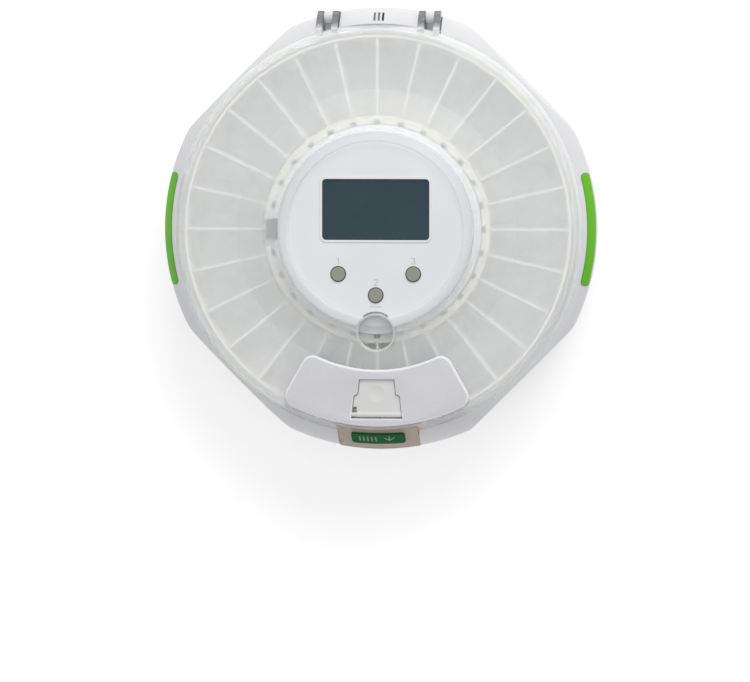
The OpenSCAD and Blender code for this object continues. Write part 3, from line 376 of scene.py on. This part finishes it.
SKIN = {
    "shell_white": (shell_finish, {}),
    "trim_green": (moulded, dict(rgb=(104, 192, 20), rough=0.42, edge=0.4 * MM, spread=0.05)),
    "well_white": (moulded, dict(rgb=(226, 227, 230), rough=0.45)),
    "underside_grey": (moulded, dict(rgb=(222, 223, 227), rough=0.48, depth=8 * MICRON)),
    "foot_rubber": (
        moulded,
        dict(rgb=(58, 58, 60), rough=0.75, grain=0.3 * MM, depth=20 * MICRON, spread=0.1),
    ),
    "screw_steel": (metal, dict(rgb=(188, 188, 184), rough=0.32)),
    "cell_wrap": (cell_finish, {}),
    "contact_metal": (metal, dict(rgb=(205, 202, 192), rough=0.26, stretch=(1, 8, 1))),
    "hub_white": (moulded, dict(rgb=(246, 247, 249), rough=0.42)),
    "panel_white": (moulded, dict(rgb=(245, 247, 249))),
    "display_lens": (lens_finish, {}),
    "display_body": (moulded, dict(rgb=(196, 200, 196), rough=0.35)),
    "board_green": (
        moulded,
        dict(rgb=(28, 96, 58), rough=0.35, grain=1.2 * MM, depth=10 * MICRON, spread=0.15),
    ),
    "membrane_rubber": (
        moulded,
        dict(rgb=(176, 176, 170), rough=0.7, grain=0.3 * MM, depth=10 * MICRON),
    ),
    "key_grey": (moulded, dict(rgb=(158, 158, 150), rough=0.5, grain=0.3 * MM, depth=6 * MICRON)),
    "inner_black": (moulded, dict(rgb=(30, 30, 32), rough=0.45, spread=0.1)),
    "catch_grey": (moulded, dict(rgb=(30, 30, 33), rough=0.5, spread=0.1)),  # grey through the lid
    "motor_metal": (metal, dict(rgb=(190, 190, 188), stretch=(1, 1, 9))),
    "shaft_steel": (metal, dict(rgb=(200, 200, 200), rough=0.2, stretch=(6, 1, 1))),
    "gear_acetal": (moulded, dict(rgb=(236, 235, 226), depth=3 * MICRON, edge=0.1 * MM)),
    "tray_cream": (tray_finish, {}),
    "lid_clear": (
        frosted,
        dict(
            tint=(0.99, 0.99, 0.99),
            milk_rgb=(250, 251, 252),
            milk=0.5,
            rough=0.2,
            shade=0.96,
            ears=LID_EARS,
            core=LID_CORE,
        ),
    ),
    "collar_white": (
        frosted,
        dict(
            tint=(0.99, 0.99, 0.99),
            milk_rgb=(250, 251, 252),
            milk=0.88,
            rough=0.34,
            shade=0.8,
            edge=0.9 * MM,
            rim=COLLAR_SHADED_RIM,
        ),
    ),
    "window_clear": (
        frosted,
        dict(
            tint=(0.97, 0.98, 0.98),
            milk_rgb=(214, 216, 218),
            milk=0.25,
            rough=0.1,
            depth=1 * MICRON,
        ),
    ),
    "bezel_white": (
        frosted,
        dict(tint=(0.97, 0.97, 0.97), milk_rgb=(246, 247, 248), milk=0.8, rough=0.2),
    ),
    "plate_lilac": (plate_finish, {}),
    "flap_grey": (moulded, dict(rgb=(232, 232, 230), rough=0.36, edge=0.5 * MM)),
    "tongue_clear": (
        frosted,
        dict(
            tint=(0.87, 0.80, 0.73),
            milk_rgb=(233, 217, 205),
            milk=0.5,
            rough=0.3,
            shade=0.94,
        ),
    ),
    "pad_green": (
        moulded,
        dict(rgb=(10, 92, 44), rough=0.6, edge=0.4 * MM, spread=0.08, specular=0.15),
    ),
}

made = {slot: build(slot, **values) for slot, (build, values) in SKIN.items()}
for o in NODES.values():
    for slot in o.material_slots:
        slot.material = made[slot.material.name.split(".")[0]]


# ---------------------------------------------------------------- mesh helpers

ROUND_STEPS = 4  # of every rounded edge, corner and stroke end
SHARP = math.radians(35)  # edges that bend more than this stay sharp in smooth shading


def mounted(name, mesh, material, body, smooth):
    """An object of a mesh, riding on a body."""
    for p in mesh.polygons:
        p.use_smooth = smooth
    if smooth:
        mesh.set_sharp_from_angle(angle=SHARP)
    mesh.materials.append(material)
    o = bpy.data.objects.new(name, mesh)
    bpy.context.scene.collection.objects.link(o)
    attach(o, body)
    return o


def piece(name, parts, material, body, smooth=False):
    """One added piece of several (verts in millimetres, faces), riding on a body."""
    verts, faces = [], []
    for some_verts, some_faces in parts:
        first = len(verts)
        verts += [tuple(c * MM for c in v) for v in some_verts]
        faces += [[first + i for i in face] for face in some_faces]
    mesh = bpy.data.meshes.new(name)
    mesh.from_pydata(verts, [], faces)
    bm = bmesh.new()
    bm.from_mesh(mesh)
    bmesh.ops.recalc_face_normals(bm, faces=bm.faces)
    bm.to_mesh(mesh)
    bm.free()
    return mounted(name, mesh, material, body, smooth)


def tube(size, count):
    """Faces that join count closed sections of size points each, with both ends shut."""
    last = (count - 1) * size
    faces = [list(range(last, last + size)), list(range(size))[::-1]]
    for k in range(0, last, size):
        for i in range(size):
            j = (i + 1) % size
            faces.append([k + i, k + j, k + size + j, k + size + i])
    return faces


def prism(outline, low, high, place=lambda p: p):
    """Verts and faces of a closed outline raised from low to high, each point put by place."""
    verts = [place((x, y, z)) for z in (low, high) for x, y in outline]
    return verts, tube(len(outline), 2)


def stroke(points, width):
    """Outlines of a rounded stroke through points, one for each straight run."""
    out = []
    r = width / 2
    for (x0, y0), (x1, y1) in zip(points, points[1:]):
        a = math.atan2(y1 - y0, x1 - x0)
        outline = []
        for cx, cy, start in ((x1, y1, a - math.pi / 2), (x0, y0, a + math.pi / 2)):
            for k in range(ROUND_STEPS + 1):
                t = start + math.pi * k / ROUND_STEPS
                outline.append((cx + r * math.cos(t), cy + r * math.sin(t)))
        out.append(outline)
    return out


# ---------------------------------------------------------------- outlet plate with round edges

WELD = 2 * MICRON
LEVEL = math.radians(0.5)  # faces that lean less than this to each other are joined
CORNER = math.radians(30)  # edges that bend more than this can be rounded


def soften(node, passes, body, slot):
    """A copy of a CAD node with its sharp edges really rounded, which stands for the node.

    passes are (radius in millimetres, which), and which(x, y, z) picks edges by their middle.
    """
    bm = bmesh.new()
    bm.from_mesh(NODES[node].data)
    bmesh.ops.remove_doubles(bm, verts=bm.verts, dist=WELD)
    bmesh.ops.dissolve_limit(
        bm, angle_limit=LEVEL, use_dissolve_boundaries=False, verts=bm.verts, edges=bm.edges
    )
    for radius, which in passes:
        edges = []
        for e in bm.edges:
            middle = (e.verts[0].co + e.verts[1].co) / 2 / MM
            sharp = len(e.link_faces) == 2 and e.calc_face_angle(0) >= CORNER
            if sharp and which(*middle):
                edges.append(e)
        bmesh.ops.bevel(
            bm,
            geom=edges,
            offset=radius * MM,
            offset_type="OFFSET",
            segments=ROUND_STEPS,
            profile=0.5,
            affect="EDGES",
            clamp_overlap=False,
            miter_outer="ARC",
        )
    bmesh.ops.recalc_face_normals(bm, faces=bm.faces)
    mesh = bpy.data.meshes.new(node + "_finished")
    bm.to_mesh(mesh)
    bm.free()
    o = mounted(node + "_finished", mesh, made[slot], body, smooth=True)
    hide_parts(node)
    return o


PLATE_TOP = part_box("outlet_plate")[1].z / MM
FLAP_LOW, FLAP_HIGH = (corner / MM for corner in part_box("outlet_flap"))
PLATE_ROUND, OUTLET_ROUND = 1.4, 0.7


def in_outlet(x, y):
    """Whether a place on the plate is at the outlet, which is a little larger than its flap."""
    return abs(x) < FLAP_HIGH.x - 0.2 and FLAP_LOW.y - 1.4 < y < FLAP_HIGH.y + 1.0


def on_top(z):
    """Whether a height is that of the plate's upper face."""
    return z > PLATE_TOP - 0.01


soften(
    "outlet_plate",
    (
        (PLATE_ROUND, lambda x, y, z: on_top(z) and not in_outlet(x, y)),
        (OUTLET_ROUND, lambda x, y, z: on_top(z) and in_outlet(x, y)),
    ),
    "lid",
    "plate_lilac",
)


# ---------------------------------------------------------------- inlays between the hinges

SHELL = NODES["outer_shell"].data
SHELL_TREE = BVHTree.FromPolygons(
    [v.co for v in SHELL.vertices], [p.vertices for p in SHELL.polygons]
)
BAR_Y, BAR_STEP, BAR_LONG, BAR_WIDE = 105.45, 2.1, 3.9, 0.97
BAR_LOW, BAR_HIGH = 0.02, 0.3  # above the floor of the recess
BAR_SECTIONS = 7
RAY_START = 0.2  # metres, above the whole object


def shell_z(x, y):
    """Height of the case's outer surface at x, y."""
    start = Vector((x * MM, y * MM, RAY_START))
    return SHELL_TREE.ray_cast(start, Vector((0, 0, -1)))[0].z / MM


def rear_bar(x):
    """Verts and faces of an inlay that follows the floor of its recess."""
    verts = []
    for k in range(BAR_SECTIONS):
        y = BAR_Y + BAR_LONG * (k / (BAR_SECTIONS - 1) - 0.5)
        floor_z = shell_z(x, y)
        for side, up in ((-1, BAR_LOW), (1, BAR_LOW), (1, BAR_HIGH), (-1, BAR_HIGH)):
            verts.append((x + side * BAR_WIDE / 2, y, floor_z + up))
    return verts, tube(4, BAR_SECTIONS)


for name, xs, rgb in (
    ("rear_bars", (-BAR_STEP, 0), (122, 126, 128)),
    ("rear_bar_dark", (BAR_STEP,), (30, 31, 33)),
):
    o = piece(name, [rear_bar(x) for x in xs], moulded(name, rgb, 0.5, edge=0), "base")


# ---------------------------------------------------------------- lip of the hub

# A ring on the hub's wall that closes the trench to the tray, and is open for the catch
LIP_IN, LIP_OUT, LIP_ROUND, LIP_STEPS = 47.9, 51.9, 0.5, 96
CATCH_LOW, CATCH_HIGH = (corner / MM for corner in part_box("tray_catch"))
LIP_LIFT, CATCH_PLAY = 0.3, 0.25  # above the catch's underside, and beside the catch
LIP_LOW, LIP_TOP = CATCH_LOW.z + LIP_LIFT, CATCH_HIGH.z
LIP_GAP = math.asin((CATCH_HIGH.y + CATCH_PLAY) / LIP_IN)  # half the opening, as an angle


def hub_lip():
    """Verts and faces of the lip: its section turned from one side of the catch to the other."""
    section = [(LIP_IN, LIP_LOW), (LIP_OUT, LIP_LOW)]
    for k in range(ROUND_STEPS + 1):
        t = math.pi / 2 * k / ROUND_STEPS
        across, up = LIP_ROUND * (math.cos(t) - 1), LIP_ROUND * (math.sin(t) - 1)
        section.append((LIP_OUT + across, LIP_TOP + up))
    section.append((LIP_IN, LIP_TOP))
    verts = []
    for k in range(LIP_STEPS + 1):
        a = math.pi + LIP_GAP + (math.tau - 2 * LIP_GAP) * k / LIP_STEPS
        verts += [(r * math.cos(a), r * math.sin(a), z) for r, z in section]
    return verts, tube(len(section), LIP_STEPS + 1)


lip_white = moulded("lip_white", (240, 241, 241), 0.42)
lip = piece("hub_lip", [hub_lip()], lip_white, "base", smooth=True)


# ---------------------------------------------------------------- numerals and bar at the keys

PANEL_SUNK = 0.4  # the panel's face, below its rim
PANEL_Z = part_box("control_panel")[1].z / MM - PANEL_SUNK
INK_LOW, INK_HIGH, INK_LAP = 0.002, 0.03, 0.001  # above the face, and what crossing runs differ by
NUMERAL_W = 0.42
DASHES, DASH_STEP, DASH_LONG, DASH_W, DASH_BELOW = 5, 1.2, 0.6, 0.5, 5.7  # below the middle key

# For each key: how far above its middle the numeral stands, and the numeral's runs of points
GLYPHS = {
    "button_left": (6.5, [[(-0.5, 0.9), (0.1, 1.5), (0.1, -1.5)]]),
    "button_middle": (
        6.3,
        [[(-0.8, 0.9), (-0.4, 1.4), (0.3, 1.5), (0.8, 1.0), (0.7, 0.3), (-0.8, -1.5), (0.9, -1.5)]],
    ),
    "button_right": (
        6.5,
        [
            [(-0.8, 1.2), (-0.2, 1.5), (0.5, 1.4), (0.8, 0.9), (0.5, 0.3), (0.0, 0.1)],
            [(0.0, 0.1), (0.6, -0.1), (0.9, -0.7), (0.5, -1.3), (-0.2, -1.5), (-0.9, -1.2)],
        ],
    ),
}


def key_middle(key):
    """Middle of a key, seen from above."""
    low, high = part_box(key)
    return (low.x + high.x) / 2 / MM, (low.y + high.y) / 2 / MM


def printed(points, width, lap=0):
    """Prisms of a stroke on the panel's face."""
    return [
        prism(outline, PANEL_Z + INK_LOW, PANEL_Z + INK_HIGH + lap * k)
        for k, outline in enumerate(stroke(points, width))
    ]


parts = []
for key, (above, runs) in GLYPHS.items():
    key_x, key_y = key_middle(key)
    for run in runs:
        parts += printed([(key_x + x, key_y + above + y) for x, y in run], NUMERAL_W, INK_LAP)
key_x, key_y = key_middle("button_middle")
for k in range(DASHES):
    x, y = key_x + DASH_STEP * (k - (DASHES - 1) / 2), key_y - DASH_BELOW
    parts += printed([(x - DASH_LONG / 2, y), (x + DASH_LONG / 2, y)], DASH_W)
ink = moulded("faint_ink", (206, 210, 214), 0.45, edge=0)
o = piece("key_numerals", parts, ink, "base")


# ---------------------------------------------------------------- bars and arrow on the pad

TONGUE_LOW, TONGUE_HIGH = (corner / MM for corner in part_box("latch_tongue"))
FOOT_H = 2.4  # the tongue's upright foot
TOP_R, FOOT_R = 100.4, -TONGUE_LOW.y  # its cone, from the upper edge to the foot
TOP_Z, FOOT_Z = TONGUE_HIGH.z, TONGUE_LOW.z + FOOT_H
RUN, RISE = FOOT_R - TOP_R, TOP_Z - FOOT_Z
SLOPE = math.hypot(RUN, RISE)
PAD_T, PAD_MID = 0.9, 0.37  # the pad's thickness, and how far down the slope its middle lies
MARK_LOW, MARK_HIGH, MARK_W = -0.03, 0.06, 0.75  # from the pad's face
MARK_BARS, MARK_FIRST, MARK_STEP, MARK_LONG = 5, -9.2, 2.0, 3.6
ARROW_HEAD = [(3.2, 1.2), (5.6, -1.4), (8.0, 1.2)]
ARROW_SHAFT = [(5.6, -1.4), (5.6, 2.2)]


def on_pad(p):
    """A point of the pad: x across it, y up it from its middle, z above its face."""
    x, y, z = p
    along = PAD_MID * SLOPE - y
    r = TOP_R + along * RUN / SLOPE + (PAD_T + z) * RISE / SLOPE
    h = TOP_Z - along * RISE / SLOPE + (PAD_T + z) * RUN / SLOPE
    t = x / r
    return (r * math.sin(t), -r * math.cos(t), h)


bars_x = [MARK_FIRST + MARK_STEP * k for k in range(MARK_BARS)]
bars = [[(x, -MARK_LONG / 2), (x, MARK_LONG / 2)] for x in bars_x]
parts = []
for run in bars + [ARROW_HEAD, ARROW_SHAFT]:
    parts += [prism(outline, MARK_LOW, MARK_HIGH, on_pad) for outline in stroke(run, MARK_W)]
pale = moulded("pad_marks", (120, 158, 124), 0.4, edge=0)
o = piece("pad_marks", parts, pale, "latch")


# ---------------------------------------------------------------- floor, light, camera

# A pale floor, which looks lighter than its light makes it
FLOOR_R, FLOOR_SIDES, FLOOR_Z, FLOOR_LIFT = 7.0, 64, -0.2 * MM, 0.45
turns = [math.tau * k / FLOOR_SIDES for k in range(FLOOR_SIDES)]
floor_mesh = bpy.data.meshes.new("floor")
floor_mesh.from_pydata(
    [(FLOOR_R * math.cos(a), FLOOR_R * math.sin(a), FLOOR_Z) for a in turns],
    [],
    [list(range(FLOOR_SIDES))],
)
floor = bpy.data.objects.new("floor", floor_mesh)
bpy.context.scene.collection.objects.link(floor)
fs = Shader("floor")
matt = fs.principled(
    {
        "Base Color": fs.clouded((0.80, 0.80, 0.81), (0.83, 0.83, 0.83), 300 * MM, 3.0),
        "Roughness": fs.drifting(0.7, 0.85, 20 * MM),
        "Normal": fs.grained(0, 1 * MM, 10 * MICRON, 3.0),
        "Specular IOR Level": 0.2,
    }
)
shine = fs.node("ShaderNodeEmission", {"Color": (1, 1, 1), "Strength": fs.sight(FLOOR_LIFT)})
both = fs.node("ShaderNodeAddShader", {0: matt, 1: shine.outputs[0]})
floor_mesh.materials.append(fs.done(both.outputs[0]))

# A white world, which gives less light than it shows
WORLD_LIGHT, WORLD_GLOSSY = 0.58, 0.4
world = bpy.data.worlds.new("studio")
bpy.context.scene.world = world
world.use_nodes = True
ws = Nodes(world.node_tree)
strength = ws.calc("ADD", ws.sight(1.0 - WORLD_LIGHT, WORLD_GLOSSY), WORLD_LIGHT)
sky = ws.node("ShaderNodeBackground", {"Color": (1, 1, 1), "Strength": strength})
ws.node("ShaderNodeOutputWorld", {"Surface": sky.outputs[0]})

# A soft lamp from behind
KEY_AT, KEY_SIZE, KEY_POWER = Vector((0.4, 1.4, 1.0)), (1.2, 0.7), 14
AIM = Vector((0, 0, 0.02))
lamp_data = bpy.data.lights.new("key", "AREA")
lamp_data.shape = "RECTANGLE"
lamp_data.size, lamp_data.size_y = KEY_SIZE
lamp_data.energy = KEY_POWER
lamp = bpy.data.objects.new("key", lamp_data)
lamp.location = KEY_AT
lamp.rotation_euler = (AIM - KEY_AT).to_track_quat("-Z", "Y").to_euler()
lamp.visible_glossy = False  # its mirror image would bleach the lid at low angles
bpy.context.scene.collection.objects.link(lamp)

# The photo's camera: far away, turned a little to the right and up, with the object off the middle
PICTURE_W, PICTURE_H, FOCAL_PX = 750, 682, 5010.0
PIVOT, PIVOT_PX = Vector((0, 0, 0.030)), (380.0, 228.6)  # a point, and its place in the photo
TURN_X, TURN_Y, DISTANCE = math.radians(6.3), math.radians(1.7), 2.5
SENSOR = 36  # millimetres
back = Vector(
    (math.sin(TURN_X) * math.cos(TURN_Y), math.sin(TURN_Y), math.cos(TURN_X) * math.cos(TURN_Y))
)
up = (Vector((0, 1, 0)) - back * back.y).normalized()
basis = Matrix((up.cross(back), up, back)).transposed()
seen = Vector((PIVOT_PX[0] - PICTURE_W / 2, PICTURE_H / 2 - PIVOT_PX[1], -FOCAL_PX)).normalized()
basis = basis @ seen.rotation_difference(Vector((0, 0, -1))).to_matrix()
cam_data = bpy.data.cameras.new("camera")
cam_data.sensor_fit = "HORIZONTAL"
cam_data.sensor_width = SENSOR
cam_data.lens = FOCAL_PX * SENSOR / PICTURE_W
cam_data.clip_start, cam_data.clip_end = 0.05, 60
camera = bpy.data.objects.new("camera", cam_data)
camera.matrix_world = Matrix.Translation(PIVOT + back * DISTANCE) @ basis.to_4x4()
bpy.context.scene.collection.objects.link(camera)
bpy.context.scene.camera = camera

bpy.context.scene.view_settings.view_transform = "Standard"
